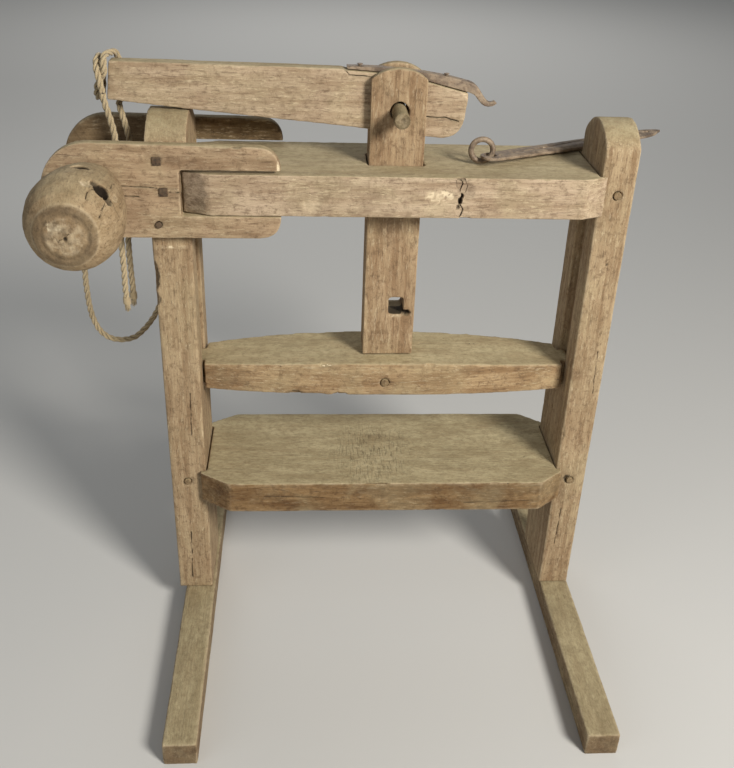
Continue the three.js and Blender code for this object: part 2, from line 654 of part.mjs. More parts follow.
function knot(end) {
  const [x, y, z] = end;
  const profile = [[0, -15], [4.2, -14.4], [5.6, -11], [5, -8], [6.2, -4.5], [5.2, 0], [0, 4]];
  const lathe = new THREE.LatheGeometry(profile.map(([r, h]) => new THREE.Vector2(r, h)), 10);
  return lathe.rotateX(Math.PI / 2).translate(x, y, z);
}

export default press;
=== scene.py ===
"""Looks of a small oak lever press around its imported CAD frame. Metres, +Z up, as the frame.

Every wooden and iron CAD node is replaced by a worn mesh derived from it: the node is remeshed finely, its
edges are rubbed down unevenly, and grain, cracks, chips, knots and dents are pressed into it. Nothing is added
outside the CAD solids. The ropes are laid from three strands along the routes that the CAD gives them.
"""
import math

import bmesh
import bpy
import numpy as np
from mathutils import Matrix, Vector


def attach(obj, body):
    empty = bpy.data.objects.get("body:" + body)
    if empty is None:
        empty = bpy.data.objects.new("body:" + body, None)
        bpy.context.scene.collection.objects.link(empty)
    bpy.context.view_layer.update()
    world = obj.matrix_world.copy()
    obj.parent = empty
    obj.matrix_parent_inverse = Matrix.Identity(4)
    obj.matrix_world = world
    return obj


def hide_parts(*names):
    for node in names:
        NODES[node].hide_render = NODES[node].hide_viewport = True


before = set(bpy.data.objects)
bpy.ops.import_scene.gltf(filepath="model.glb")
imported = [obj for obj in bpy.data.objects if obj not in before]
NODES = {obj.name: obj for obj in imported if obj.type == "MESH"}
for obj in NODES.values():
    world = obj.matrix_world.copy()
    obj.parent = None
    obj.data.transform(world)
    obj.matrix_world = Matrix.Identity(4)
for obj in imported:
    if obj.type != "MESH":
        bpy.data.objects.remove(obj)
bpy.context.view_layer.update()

MM = 0.001
BOX_SHIFT_X = 16  # the CAD source measures X from the ram's middle


def at(x, y, z):
    """A point of the CAD source, in millimetres from the ram's middle, as metres in the frame."""
    return np.array([(x + BOX_SHIFT_X) * MM, y * MM, z * MM])


# ------------------------------------------------------------------ camera
CAMERA_AT = (-0.1039, -1.2668, 1.1045)
CAMERA_YAW, CAMERA_PITCH, CAMERA_ROLL = math.radians(4.245), math.radians(-29.666), math.radians(2.132)


def make_camera():
    data = bpy.data.cameras.new("camera")
    data.sensor_width = 36.0
    data.lens = 45.2
    data.clip_start, data.clip_end = 0.05, 60.0
    camera = bpy.data.objects.new("camera", data)
    bpy.context.scene.collection.objects.link(camera)
    ahead = Vector((
        math.sin(CAMERA_YAW) * math.cos(CAMERA_PITCH),
        math.cos(CAMERA_YAW) * math.cos(CAMERA_PITCH),
        math.sin(CAMERA_PITCH),
    ))
    right = Vector((math.cos(CAMERA_YAW), -math.sin(CAMERA_YAW), 0.0))
    up = right.cross(ahead)
    across = right * math.cos(CAMERA_ROLL) + up * math.sin(CAMERA_ROLL)
    rise = up * math.cos(CAMERA_ROLL) - right * math.sin(CAMERA_ROLL)
    turn = Matrix((across, rise, -ahead)).transposed().to_4x4()
    camera.matrix_world = Matrix.Translation(CAMERA_AT) @ turn
    bpy.context.scene.camera = camera


make_camera()


# ------------------------------------------------------------------ seeded noise on arrays of points
HASH_X, HASH_Y, HASH_Z, HASH_SEED, HASH_MIX = 374761393, 668265263, 1440662683, 974634777, 1274126177
WORD, FRACTION = 0xFFFFFFFF, 0xFFFFFF


def lattice(ix, iy, iz, seed):
    """A value from -1 to 1 for each whole-numbered corner, the same in every run."""
    h = (ix * HASH_X + iy * HASH_Y + iz * HASH_Z + seed * HASH_SEED) & WORD
    h = ((h ^ (h >> 13)) * HASH_MIX) & WORD
    return ((h ^ (h >> 16)) & FRACTION) / float(FRACTION) * 2 - 1


def noise(p, seed):
    """Smooth value noise from -1 to 1; p is points measured in noise cells."""
    cell = np.floor(p).astype(np.int64)
    f = p - cell
    f = f * f * (3 - 2 * f)
    x, y, z = cell.T
    out = 0
    for dx in (0, 1):
        for dy in (0, 1):
            for dz in (0, 1):
                share = (
                    (f[:, 0] if dx else 1 - f[:, 0])
                    * (f[:, 1] if dy else 1 - f[:, 1])
                    * (f[:, 2] if dz else 1 - f[:, 2])
                )
                out = out + share * lattice(x + dx, y + dy, z + dz, seed)
    return out


OCTAVES, FINER = 3, 2.03  # each octave's cells are this much smaller than the last one's


def fractal(p, seed):
    """Noise from -1 to 1 with finer noise laid over it."""
    total, size, reach = 0, 1.0, 0
    for i in range(OCTAVES):
        total = total + size * noise(p * FINER ** i, seed + 17 * i)
        reach += size
        size *= 0.5
    return total / reach


def ramp(x, low, high):
    """0 at low, 1 at high and smooth between them; low may be the larger."""
    t = np.clip((x - low) / (high - low), 0, 1)
    return t * t * (3 - 2 * t)


# ------------------------------------------------------------------ node trees
class Tree:
    """A short way to write a material's nodes."""

    def __init__(self, name):
        self.material = bpy.data.materials.new(name)
        self.material.use_nodes = True
        self.nodes = self.material.node_tree.nodes
        self.links = self.material.node_tree.links
        self.shader = next(n for n in self.nodes if n.type == "BSDF_PRINCIPLED")

    def add(self, kind, inputs=None, **settings):
        node = self.nodes.new("ShaderNode" + kind)
        for key, value in settings.items():
            setattr(node, key, value)
        for key, value in (inputs or {}).items():
            self.put(node.inputs[key], value)
        return node

    def put(self, socket, value):
        if isinstance(value, bpy.types.NodeSocket):
            self.links.new(value, socket)
        elif isinstance(value, bpy.types.Node):
            self.links.new(value.outputs[0], socket)
        else:
            socket.default_value = value

    def noise(self, vector, scale, detail=3.0, rough=0.55, distort=0.0):
        node = self.add("TexNoise", {
            "Vector": vector, "Scale": scale, "Detail": detail, "Roughness": rough, "Distortion": distort,
        })
        return node.outputs[0]

    def stretch(self, vector, scale):
        return self.add("Mapping", {"Vector": vector, "Scale": scale}).outputs[0]

    def ramp(self, value, low, high, to_low=0.0, to_high=1.0):
        node = self.add("MapRange", {0: value, 1: low, 2: high, 3: to_low, 4: to_high})
        node.interpolation_type = "SMOOTHSTEP"
        return node.outputs[0]

    def math(self, operation, a, b=0.0):
        return self.add("Math", {0: a, 1: b}, operation=operation).outputs[0]

    def times(self, a, b):
        return self.math("MULTIPLY", a, b)

    def mix(self, share, a, b):
        """The colour a, going over to b as share goes from 0 to 1."""
        node = self.add("Mix", data_type="RGBA")
        self.put(node.inputs[0], share)
        self.put(node.inputs[6], a)
        self.put(node.inputs[7], b)
        return node.outputs[2]

    def over(self, colour, paint, share, strength=1.0):
        """The colour with paint laid over it: none where share is 0, strength of it where share is 1."""
        return self.mix(self.times(share, strength), colour, paint)

    def attribute(self, name):
        return self.add("Attribute", attribute_name=name).outputs["Fac"]

    def bump(self, height, strength, distance):
        self.put(self.shader.inputs["Normal"], self.add("Bump", {
            "Height": height, "Strength": strength, "Distance": distance,
        }).outputs[0])


def tone(red, green, blue):
    """A colour as people write it, 0 to 255, as the linear values that shaders take."""
    def linear(c):
        c /= 255
        return c / 12.92 if c <= 0.04045 else ((c + 0.055) / 1.055) ** 2.4
    return (linear(red), linear(green), linear(blue), 1.0)


# Turns the object's axes so that X runs along the grain.
TO_GRAIN = {"X": (0, 0, 0), "Y": (0, 0, -math.pi / 2), "Z": (0, math.pi / 2, 0)}
DUST = tone(200, 186, 147)
OLD_DUST = tone(156, 141, 106)
PALE = tone(218, 198, 164)
TORN = tone(238, 219, 184)
# Near black, for real stains and for painted shade in cracks, holes and corners.
DARK_DIRT_AND_SHADE = tone(30, 23, 17)


# The noises in a wood. First how many cells they have in a metre: along the grain and twice across it, or one
# number where they don't follow the grain. Then the finer octaves, how strong those are, and the distortion.
WOOD_NOISES = {
    "streak": ((9, 95, 95), 7, 0.66, 0.3),
    "fibre": ((60, 470, 470), 5, 0.7, 0),
    "flecks": ((75, 340, 340), 6, 0.72, 0),
    "blotch": ((7, 17, 17), 6, 0.68, 0.7),
    "settled": ((14, 60, 60), 8, 0.76, 0),
    "drift": ((7, 22, 22), 8, 0.78, 0),
    "grit": ((150, 420, 420), 5, 0.75, 0),
    "mottle": (95, 7, 0.72, 0.3),
    "cloud": (13, 5, 0.62, 0.5),
    "speck": (420, 3, 0.7, 0),
    "patch": (70, 5, 0.65, 0),
}
RELIEF = {"streak": 1.2, "fibre": 0.9, "rings": 0.2, "flecks": 0.5, "mottle": 0.9}
RING_GAP, RING_SCALE, RING_STRETCH = 0.004, 0.314, 0.06
TORN_WEAR = (0.76, 0.9)  # the wear at which wood starts to look torn, and at which all of it does
SEED_STEP = 0.37  # each wood is cut from another place of the same noise
SCUFF_LINES, WORM_CELLS, COLONY_CELLS = (400, 42, 60), 62.0, 19.0


def growth_rings(t, grain, heart):
    """Rings round the tree's middle, drawn out along the grain."""
    around = t.add("Mapping", {
        "Vector": grain, "Location": (0, heart[0], heart[1]), "Scale": (RING_STRETCH, 1, 1),
    }).outputs[0]
    return t.add("TexWave", {
        "Vector": around, "Scale": RING_SCALE / RING_GAP, "Distortion": 6.0, "Detail": 4.0,
        "Detail Scale": 0.4, "Detail Roughness": 0.65,
    }, wave_type="RINGS", rings_direction="X", wave_profile="SAW").outputs["Fac"]


def bare_wood(t, n, light, mid, dark, stain, fleck):
    """Streaks, rings, stains, pale flecks and dark pores."""
    colour = t.mix(t.ramp(n["streak"], 0.34, 0.64), mid, light)
    colour = t.over(colour, mid, t.ramp(n["rings"], 0.1, 0.95), 0.16)
    colour = t.over(colour, t.mix(0.5, mid, dark), t.ramp(n["mottle"], 0.5, 0.64), 0.6)
    colour = t.over(colour, t.mix(0.6, mid, dark), t.ramp(n["blotch"], 0.5, 0.7), stain)
    bright = t.times(t.ramp(n["flecks"], 0.54, 0.64), t.ramp(n["cloud"], 0.35, 0.6, 0.35, 1.0))
    colour = t.over(colour, PALE, bright, fleck)
    colour = t.over(colour, dark, t.ramp(n["fibre"], 0.53, 0.66), 0.55)
    return t.over(colour, dark, t.ramp(n["speck"], 0.58, 0.7), 0.5)


def dusty(t, n, colour, upward, dust, mid, dark):
    """Old dust that lies on what faces up and clings thinly elsewhere, with the grain showing through it."""
    lying = t.times(upward, t.ramp(n["settled"], 0.32, 0.6, 0.7, 1.0))
    film = t.times(t.ramp(n["cloud"], 0.42, 0.66), 0.3)
    cover = t.times(t.math("MAXIMUM", lying, film), dust)
    film_tone = t.mix(t.ramp(n["drift"], 0.3, 0.68), OLD_DUST, DUST)
    colour = t.mix(cover, colour, t.over(film_tone, OLD_DUST, t.ramp(n["mottle"], 0.46, 0.6), 0.5))
    colour = t.over(colour, t.mix(0.5, mid, dark), t.ramp(n["grit"], 0.5, 0.64), t.times(cover, 0.34))
    colour = t.over(colour, dark, t.ramp(n["fibre"], 0.56, 0.68), t.times(cover, 0.25))
    return t.over(colour, PALE, t.ramp(n["grit"], 0.36, 0.46, 1.0, 0.0), t.times(cover, 0.16))


def scuffed(t, here, upward, middle, reach, colour, height, light, mid, dark):
    """A patch of fine crossways cuts round middle, fading out at reach."""
    lines = t.noise(t.stretch(here, SCUFF_LINES), 1.0, 4.0, 0.6, 0.6)
    offset = t.add("VectorMath", {0: here, 1: middle}, operation="SUBTRACT").outputs[0]
    away = t.add("VectorMath", {0: t.stretch(offset, tuple(1 / r for r in reach))}, operation="LENGTH")
    close = t.times(t.ramp(away.outputs["Value"], 0.2, 1.0, 1.0, 0.0), upward)
    cut = t.times(t.ramp(lines, 0.54, 0.64), close)
    colour = t.over(colour, t.mix(0.5, mid, dark), cut, 0.2)
    colour = t.over(colour, light, t.times(t.ramp(lines, 0.36, 0.46, 1.0, 0.0), close), 0.25)
    return colour, t.math("SUBTRACT", height, t.times(cut, 1.2))


def worm_eaten(t, here, worm, colour, height):
    """Small round holes in patches that grow with worm, painted dark inside as painted shade."""
    cells = t.add("TexVoronoi", {"Vector": here, "Scale": WORM_CELLS, "Randomness": 1.0})
    colony = t.ramp(t.noise(here, COLONY_CELLS, 2.0), 0.62 - worm, 0.66 - worm)
    hole = t.times(t.ramp(cells.outputs["Distance"], 0.05, 0.085, 1.0, 0.0), colony)
    return t.mix(hole, colour, DARK_DIRT_AND_SHADE), t.math("SUBTRACT", height, t.times(hole, 3.0))


def wood(name, axis, seed, light, mid, dark, dust, stain, heart=(0.0, -0.05), worm=0.0, scuff=None, rub=0.5,
         fleck=0.5):
    """Old dry oak. The grain runs along axis; heart is where the tree's middle lies, across the grain.

    The rest is how strong each thing is: dust, stain, worm holes, the rubbing on worn edges and pale flecks.
    """
    t = Tree(name)
    place = t.add("TexCoord")
    here = place.outputs["Object"]
    grain = t.add("Mapping", {
        "Vector": here, "Rotation": TO_GRAIN[axis], "Location": (seed * SEED_STEP, 0, 0),
    }).outputs[0]
    normal = t.add("SeparateXYZ", {0: place.outputs["Normal"]})
    n = {"rings": growth_rings(t, grain, heart)}
    for key, (cells, octaves, strength, distortion) in WOOD_NOISES.items():
        if isinstance(cells, tuple):
            n[key] = t.noise(t.stretch(grain, cells), 1.0, octaves, strength, distortion)
        else:
            n[key] = t.noise(here, cells, octaves, strength, distortion)

    colour = bare_wood(t, n, light, mid, dark, stain, fleck)
    along = t.math("ABSOLUTE", normal.outputs["XYZ".index(axis)])
    end_grain = t.times(t.ramp(along, 0.75, 0.95), 0.5)
    colour = t.mix(end_grain, colour, t.mix(t.ramp(n["mottle"], 0.4, 0.6), dark, mid))
    upward = t.ramp(normal.outputs[2], 0.5, 0.9)
    colour = dusty(t, n, colour, upward, dust, mid, dark)
    height = 0.0
    for key, share in RELIEF.items():
        height = t.math("ADD", t.times(n[key], share), height)
    if scuff:
        colour, height = scuffed(t, here, upward, *scuff, colour, height, light, mid, dark)
    if worm:
        colour, height = worm_eaten(t, here, worm, colour, height)

    wear = t.attribute("wear")
    colour = t.over(colour, PALE, t.times(wear, t.ramp(n["patch"], 0.36, 0.58)), rub)
    colour = t.over(colour, TORN, t.ramp(wear, *TORN_WEAR), t.ramp(n["streak"], 0.36, 0.6, 0.2, 0.8))
    # The per-point darkening: real stains, and painted shade in cracks, holes and inner corners.
    colour = t.mix(t.attribute("dirt_and_shade"), colour, DARK_DIRT_AND_SHADE)
    t.put(t.shader.inputs["Base Color"], colour)
    t.put(t.shader.inputs["Roughness"], t.ramp(n["streak"], 0.3, 0.7, 0.94, 0.78))
    t.put(t.shader.inputs["Specular IOR Level"], 0.28)
    t.bump(height, 0.8, 1.1 * MM)
    return t.material


RUST, SCALE, BRIGHT_IRON = tone(128, 94, 66), tone(46, 36, 33), tone(168, 150, 130)


def iron(name, low, high):
    """Forged iron with thin rust, darker pits, and edges rubbed bright."""
    t = Tree(name)
    place = t.add("TexCoord").outputs["Object"]
    rust = t.noise(place, 70.0, 7.0, 0.68, 0.5)
    fine = t.noise(place, 600.0, 4.0, 0.65)
    scale = t.noise(place, 190.0, 5.0, 0.6)
    colour = t.mix(t.ramp(rust, 0.38, 0.62), low, high)
    colour = t.over(colour, RUST, t.ramp(scale, 0.52, 0.68), 0.3)
    colour = t.over(colour, SCALE, t.ramp(fine, 0.55, 0.7), 0.5)
    colour = t.over(colour, BRIGHT_IRON, t.attribute("wear"), 0.45)
    # The per-point darkening: painted shade in the iron's inner corners.
    colour = t.mix(t.attribute("dirt_and_shade"), colour, DARK_DIRT_AND_SHADE)
    t.put(t.shader.inputs["Base Color"], colour)
    t.put(t.shader.inputs["Metallic"], 0.35)
    t.put(t.shader.inputs["Roughness"], t.ramp(rust, 0.3, 0.7, 0.5, 0.8))
    height = t.math("ADD", scale, t.times(fine, 0.5))
    t.bump(height, 0.7, 0.8 * MM)
    return t.material


HEMP_DARK, HEMP_LIGHT = tone(158, 136, 100), tone(212, 193, 154)
# The second colour is the painted shade between the rope's strands.
HEMP_OLD, HEMP_SHADE = tone(150, 130, 96), tone(84, 66, 42)


def hemp(name):
    """The attribute fibre holds how far along a strand a point is, and how far round it."""
    t = Tree(name)
    place = t.add("TexCoord").outputs["Object"]
    lay = t.add("Attribute", attribute_name="fibre").outputs["Vector"]
    hair = t.noise(t.stretch(lay, (160, 7, 1)), 1.0, 4.0, 0.65)
    old = t.noise(place, 45.0, 4.0, 0.6)
    colour = t.mix(t.ramp(hair, 0.35, 0.65), HEMP_DARK, HEMP_LIGHT)
    colour = t.over(colour, HEMP_OLD, t.ramp(old, 0.45, 0.7), 0.4)
    # The per-point darkening: painted shade where the strands press together; none on whipped ends.
    colour = t.mix(t.attribute("dirt_and_shade"), colour, HEMP_SHADE)
    t.put(t.shader.inputs["Base Color"], colour)
    t.put(t.shader.inputs["Roughness"], 0.9)
    t.put(t.shader.inputs["Sheen Weight"], 0.25)
    t.bump(hair, 0.8, 0.6 * MM)
    return t.material


# ------------------------------------------------------------------ ropes
ROPE_RADIUS = 4.5 * MM
STRAND_RADIUS = 2.15 * MM
STRAND_OFFSET = 2.3 * MM
ROPE_LAY = 31 * MM  # one full turn of a strand
ROPE_STEP = 2.4 * MM
STRANDS, STRAND_SIDES = 3, 8
CURVE_STEPS = 16  # between two points of a route


def smooth_line(points):
    """The same centripetal curve as the CAD's, at even steps."""
    p = np.array([at(*q) for q in points])
    p = np.vstack([2 * p[0] - p[1], p, 2 * p[-1] - p[-2]])
    out = []
    for i in range(1, len(p) - 2):
        a, b, c, d = p[i - 1:i + 3]
        ta, tb, tc = (max(np.linalg.norm(v), 1e-9) ** 0.5 for v in (b - a, c - b, d - c))
        m1 = ((b - a) / ta - (c - a) / (ta + tb) + (c - b) / tb) * tb
        m2 = ((c - b) / tb - (d - b) / (tb + tc) + (d - c) / tc) * tb
        s = np.linspace(0, 1, CURVE_STEPS, endpoint=i == len(p) - 3)[:, None]
        out.append(b * (2 * s**3 - 3 * s**2 + 1) + m1 * (s**3 - 2 * s**2 + s)
                   + c * (3 * s**2 - 2 * s**3) + m2 * (s**3 - s**2))
    return even(np.vstack(out))


def distance_along(line):
    """How far each point of a line lies from its start."""
    return np.concatenate([[0], np.cumsum(np.linalg.norm(np.diff(line, axis=0), axis=1))])


def even(line):
    run = distance_along(line)
    count = max(8, int(run[-1] / ROPE_STEP))
    where = np.linspace(0, run[-1], count + 1)
    return np.column_stack([np.interp(where, run, line[:, k]) for k in range(3)])


def unit(v):
    return v / np.maximum(np.linalg.norm(v, axis=-1, keepdims=True), 1e-12)


def frames_along(line):
    """A tangent and two crosswise directions at each point, turning as little as they can."""
    tangent = unit(np.gradient(line, axis=0))
    first = np.cross(tangent[0], (0, 0, 1) if abs(tangent[0][2]) < 0.9 else (1, 0, 0))
    across = [unit(first)]
    for k in range(1, len(line)):
        v = across[-1] - tangent[k] * np.dot(across[-1], tangent[k])
        across.append(unit(v))
    across = np.array(across)
    return tangent, across, np.cross(tangent, across)


def swept(line, radii, side, up, sides, start):
    """Rings of points round a line, with faces and two closed ends, numbered from start."""
    turn = np.arange(sides) * 2 * math.pi / sides
    ring = (side[:, None, :] * np.cos(turn)[None, :, None] + up[:, None, :] * np.sin(turn)[None, :, None])
    points = (line[:, None, :] + ring * radii[:, None, None]).reshape(-1, 3)
    faces = []
    n = len(line)
    for i in range(n - 1):
        for j in range(sides):
            a, b = start + i * sides + j, start + i * sides + (j + 1) % sides
            faces.append((a, b, b + sides, a + sides))
    faces.append(tuple(start + j for j in reversed(range(sides))))
    faces.append(tuple(start + (n - 1) * sides + j for j in range(sides)))
    return points, faces


def mesh_object(name, points, faces, material, attributes=None):
    mesh = bpy.data.meshes.new(name)
    mesh.from_pydata([tuple(p) for p in points], [], faces)
    mesh.update()
    for key, values in (attributes or {}).items():
        kind, field = ("FLOAT_VECTOR", "vector") if np.ndim(values) == 2 else ("FLOAT", "value")
        mesh.attributes.new(key, kind, "POINT").data.foreach_set(field, np.asarray(values, np.float32).ravel())
    mesh.shade_smooth()
    mesh.materials.append(material)
    obj = bpy.data.objects.new(name, mesh)
    bpy.context.scene.collection.objects.link(obj)
    return obj


def laid_rope(name, line):
    """Three strands laid round each other along the line."""
    _, side, up = frames_along(line)
    run = distance_along(line)
    all_points, all_faces, fibre, dirt_and_shade = [], [], [], []
    for k in range(STRANDS):
        angle = 2 * math.pi * (run / ROPE_LAY + k / STRANDS)
        out = side * np.cos(angle)[:, None] + up * np.sin(angle)[:, None]
        plump = 1 + 0.05 * noise(np.column_stack([run / 0.012, run * 0 + k * 9.3, run * 0]), 5)
        centre = line + out * STRAND_OFFSET
        along = unit(np.gradient(centre, axis=0))
        across = unit(np.cross(along, out))
        count = sum(len(p) for p in all_points)
        points, faces = swept(centre, STRAND_RADIUS * plump, out, across, STRAND_SIDES, count)
        all_points.append(points)
        all_faces += faces
        turn = np.tile(np.arange(STRAND_SIDES) / STRAND_SIDES, len(line))
        far = np.repeat(run, STRAND_SIDES)
        around = np.abs(turn - 0.5) * 2  # 1 on the side away from the rope's middle
        fibre.append(np.column_stack([around * 6 + k * 3, far * 40, far * 0 + k]))
        # Painted shade on each strand's side that faces the rope's middle, where the strands meet.
        dirt_and_shade.append(np.clip(0.62 - around, 0, 1) * 0.9)
    return mesh_object(name, np.vstack(all_points), all_faces, HEMP, {
        "fibre": np.vstack(fibre), "dirt_and_shade": np.concatenate(dirt_and_shade),
    })


HITCH = [
    (-373.5, -20, 812), (-375.6, -19.8, 828), (-378.2, -17, 839.5), (-379, -10, 848.5), (-377.8, -2, 852.8),
    (-377.3, 6, 851.6), (-377.4, 12, 843), (-377.5, 13.4, 830), (-377.8, 11.6, 816), (-379.2, 7, 805.5),
    (-381.6, 0.5, 802), (-382.8, -5.6, 806.5), (-381.4, -9, 816), (-376.6, -9, 827.5), (-370.4, -15, 835.5),
    (-369.2, -17.3, 843), (-369, -15.8, 852), (-367.4, -9, 857), (-364, 0, 857.2), (-361, 9, 856.8),
    (-358.2, 16.2, 853.6), (-356.4, 19, 845), (-356, 18.4, 825), (-358.5, 17.8, 805), (-361, 17, 790),
]
FRONT_STRAND = [
    (-373.4, -20, 811.6), (-372, -20, 801), (-369.5, -20, 790), (-366.2, -20, 776), (-363.3, -20.4, 759),
    (-362.8, -22, 738), (-364, -25, 700), (-365.4, -28, 660), (-366, -31, 620), (-366, -32, 575),
    (-366.5, -32.5, 550), (-366, -32, 528),
]
REAR_STRAND = [
    (-361, 17, 789.6), (-357, 16, 772), (-351.5, 13, 748), (-351, 8, 715), (-354, 2, 680), (-358.5, -4, 645),
    (-361, -8, 612), (-361.4, -8.6, 570), (-360.8, -9, 545), (-361, -9.5, 526),
]
SLACK = [
    (-405.6, 34.5, 684), (-409, 35, 664), (-419, 36, 625), (-430, 37, 585), (-435.5, 38, 546), (-436, 38, 516),
    (-434.2, 38, 484), (-430, 38, 465), (-423, 38, 450), (-412, 38, 440), (-399, 38, 436), (-386, 39, 436),
    (-374, 40, 439.5), (-364, 42, 447), (-354, 44, 457.5), (-341, 47, 476), (-331, 50, 500), (-327.5, 52, 530),
    (-327, 52.5, 570), (-327.5, 52.5, 610), (-334, 52.5, 640), (-350, 52.5, 660), (-362, 52.5, 672),
    (-366.4, 52.5, 684),
]
SHAFT = (-386, 705.6)  # the windlass's axis, X and Z
SHAFT_RADIUS = 14.5
WRAP_TURNS, WRAP_STEPS, WRAP_GAP, WRAP_FRONT, WRAP_BACK = 2, 24, 0.3, 34.6, 52.4
WHIP_LENGTH, WHIP_TURNS, WHIP_STEPS, TWINE_RADIUS = 9 * MM, 7, 14, 0.75 * MM
TUFT_HAIRS, HAIR_STEPS = 46, 6


def wrap_line():
    """The turns on the windlass's shaft, from where the slack rope leaves them."""
    reach = SHAFT_RADIUS + WRAP_GAP + ROPE_RADIUS / MM
    turns = np.linspace(0, WRAP_TURNS * 2 * math.pi, WRAP_STEPS * WRAP_TURNS + 1)
    start = math.atan2(SLACK[0][2] - SHAFT[1], SLACK[0][0] - SHAFT[0])
    points = [(
        SHAFT[0] + reach * math.cos(start - a), WRAP_FRONT + (WRAP_BACK - WRAP_FRONT) * a / turns[-1],
        SHAFT[1] + reach * math.sin(start - a),
    ) for a in turns]
    return smooth_line(points)


def whipped_end(name, line):
    """Thin twine wound round a rope's end, with the strands' ends spread below it."""
    tangent, side, up = frames_along(line)
    tip, down, s, u = line[-1], tangent[-1], side[-1], up[-1]
    a = np.linspace(0, WHIP_TURNS * 2 * math.pi, WHIP_TURNS * WHIP_STEPS)
    twine = tip + down * (np.linspace(-WHIP_LENGTH, 0.5 * MM, len(a)))[:, None] \
        + (s * np.cos(a)[:, None] + u * np.sin(a)[:, None]) * 4.6 * MM
    _, across, rise = frames_along(twine)
    points, faces = swept(twine, np.full(len(a), TWINE_RADIUS), across, rise, 5, 0)
    parts, count = [points], len(points)
    generator = np.random.default_rng(31)
    for _ in range(TUFT_HAIRS):
        angle, lean = generator.uniform(0, 2 * math.pi), generator.uniform(0.1, 1.0)
        out = s * math.cos(angle) + u * math.sin(angle)
        reach = generator.uniform(8, 14) * MM
        steps = np.linspace(0, 1, HAIR_STEPS)[:, None]
        hair = tip - down * 1.5 * MM + out * (1.0 + 2.4 * lean) * MM + steps * down * reach \
            + steps ** 2 * out * generator.uniform(-0.5, 1.7) * MM
        across, rise = frames_along(hair)[1:]
        radii = np.linspace(0.62, 0.28, HAIR_STEPS) * MM
        more, more_faces = swept(hair, radii, across, rise, 4, count)
        parts.append(more)
        faces += more_faces
        count += len(more)
    points = np.vstack(parts)
    fibre = np.column_stack([points[:, 0] * 300, points[:, 2] * 30, points[:, 1] * 300])
    return mesh_object(name, points, faces, HEMP, {"fibre": fibre, "dirt_and_shade": np.zeros(len(points))})


HEMP = hemp("hemp_rope")


def hang_ropes():
    """Every rope rides on its own body."""
    lines = {
        "lever_hitch": (smooth_line(HITCH), "lever", "object", "taut", None),
        "rope_front": (smooth_line(FRONT_STRAND), "hanging_rope", "knot", "hanging", "rope_front_end"),
        "rope_rear": (smooth_line(REAR_STRAND), "hanging_rope", "knot", "hanging", "rope_rear_end"),
        "windlass_wraps": (wrap_line(), "windlass", "object", "coiled", None),
        "slack_rope": (smooth_line(SLACK), "frame", "object", "hanging", None),
    }
    for node, (line, body, far_end, lay, end) in lines.items():
        obj = laid_rope(node + "_laid", line)
        if end:
            tuft = whipped_end(end, line)
            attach(tuft, body)
        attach(obj, body)
        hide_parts(node)


hang_ropes()


# ------------------------------------------------------------------ worn meshes from the CAD nodes
def fine_mesh(node, voxel):
    """The node's solid as an even mesh of small squares."""
    soup = bmesh.new()
    soup.from_mesh(NODES[node].data)
    bmesh.ops.remove_doubles(soup, verts=soup.verts, dist=1e-6)
    mesh = bpy.data.meshes.new(node + "_fine")
    soup.to_mesh(mesh)
    soup.free()
    holder = bpy.data.objects.new(node + "_fine", mesh)
    bpy.context.scene.collection.objects.link(holder)
    modifier = holder.modifiers.new("fine", "REMESH")
    modifier.mode = "VOXEL"
    modifier.voxel_size = voxel
    seen = holder.evaluated_get(bpy.context.evaluated_depsgraph_get())
    fine = bpy.data.meshes.new_from_object(seen)
    bpy.data.objects.remove(holder)
    bpy.data.meshes.remove(mesh)
    return fine


def split_near(mesh, lines, reach, times):
    """Splits the squares that lie within reach of any of the lines, so that a thin crack has points to bend."""
    for k in range(times):
        points = read_points(mesh)
        near = np.zeros(len(points), bool)
        for line in lines:
            near |= distance_to(points, line) < reach * 0.75 ** k
        bm = bmesh.new()
        bm.from_mesh(mesh)
        bm.verts.ensure_lookup_table()
        edges = [e for e in bm.edges if near[e.verts[0].index] and near[e.verts[1].index]]
        bmesh.ops.subdivide_edges(bm, edges=edges, cuts=1, use_grid_fill=True)
        bm.to_mesh(mesh)
        bm.free()


def read_points(mesh):
    co = np.empty(len(mesh.vertices) * 3, np.float32)
    mesh.vertices.foreach_get("co", co)
    return co.reshape(-1, 3).astype(float)


def write_points(mesh, points):
    mesh.vertices.foreach_set("co", points.astype(np.float32).ravel())
    mesh.update()


def normals_of(mesh):
    n = np.empty(len(mesh.vertices) * 3, np.float32)
    mesh.vertex_normals.foreach_get("vector", n)
    return n.reshape(-1, 3).astype(float)


def distance_to(points, line):
    """How far each point is from a line of points."""
    best = np.full(len(points), 1e9)
    for a, b in zip(line[:-1], line[1:]):
        way = b - a
        t = np.clip(((points - a) @ way) / max(way @ way, 1e-12), 0, 1)
        best = np.minimum(best, np.linalg.norm(points - a - t[:, None] * way, axis=1))
    return best


def relaxed(points, edges, share, rounds):
    """Each round draws every point by share towards the middle of its neighbours."""
    n = len(points)
    degree = np.maximum(np.bincount(edges.ravel(), minlength=n), 1)[:, None]
    for _ in range(rounds):
        around = np.column_stack([
            np.bincount(edges[:, 0], weights=points[edges[:, 1], k], minlength=n)
            + np.bincount(edges[:, 1], weights=points[edges[:, 0], k], minlength=n)
            for k in range(3)
        ]) / degree
        points = points + share * (around - points)
    return points


# The size of the ridges that the grain makes, in millimetres, for each way it runs.
CROSS = {"X": (60, 4.5, 4.5), "Y": (4.5, 60, 4.5), "Z": (4.5, 4.5, 60)}


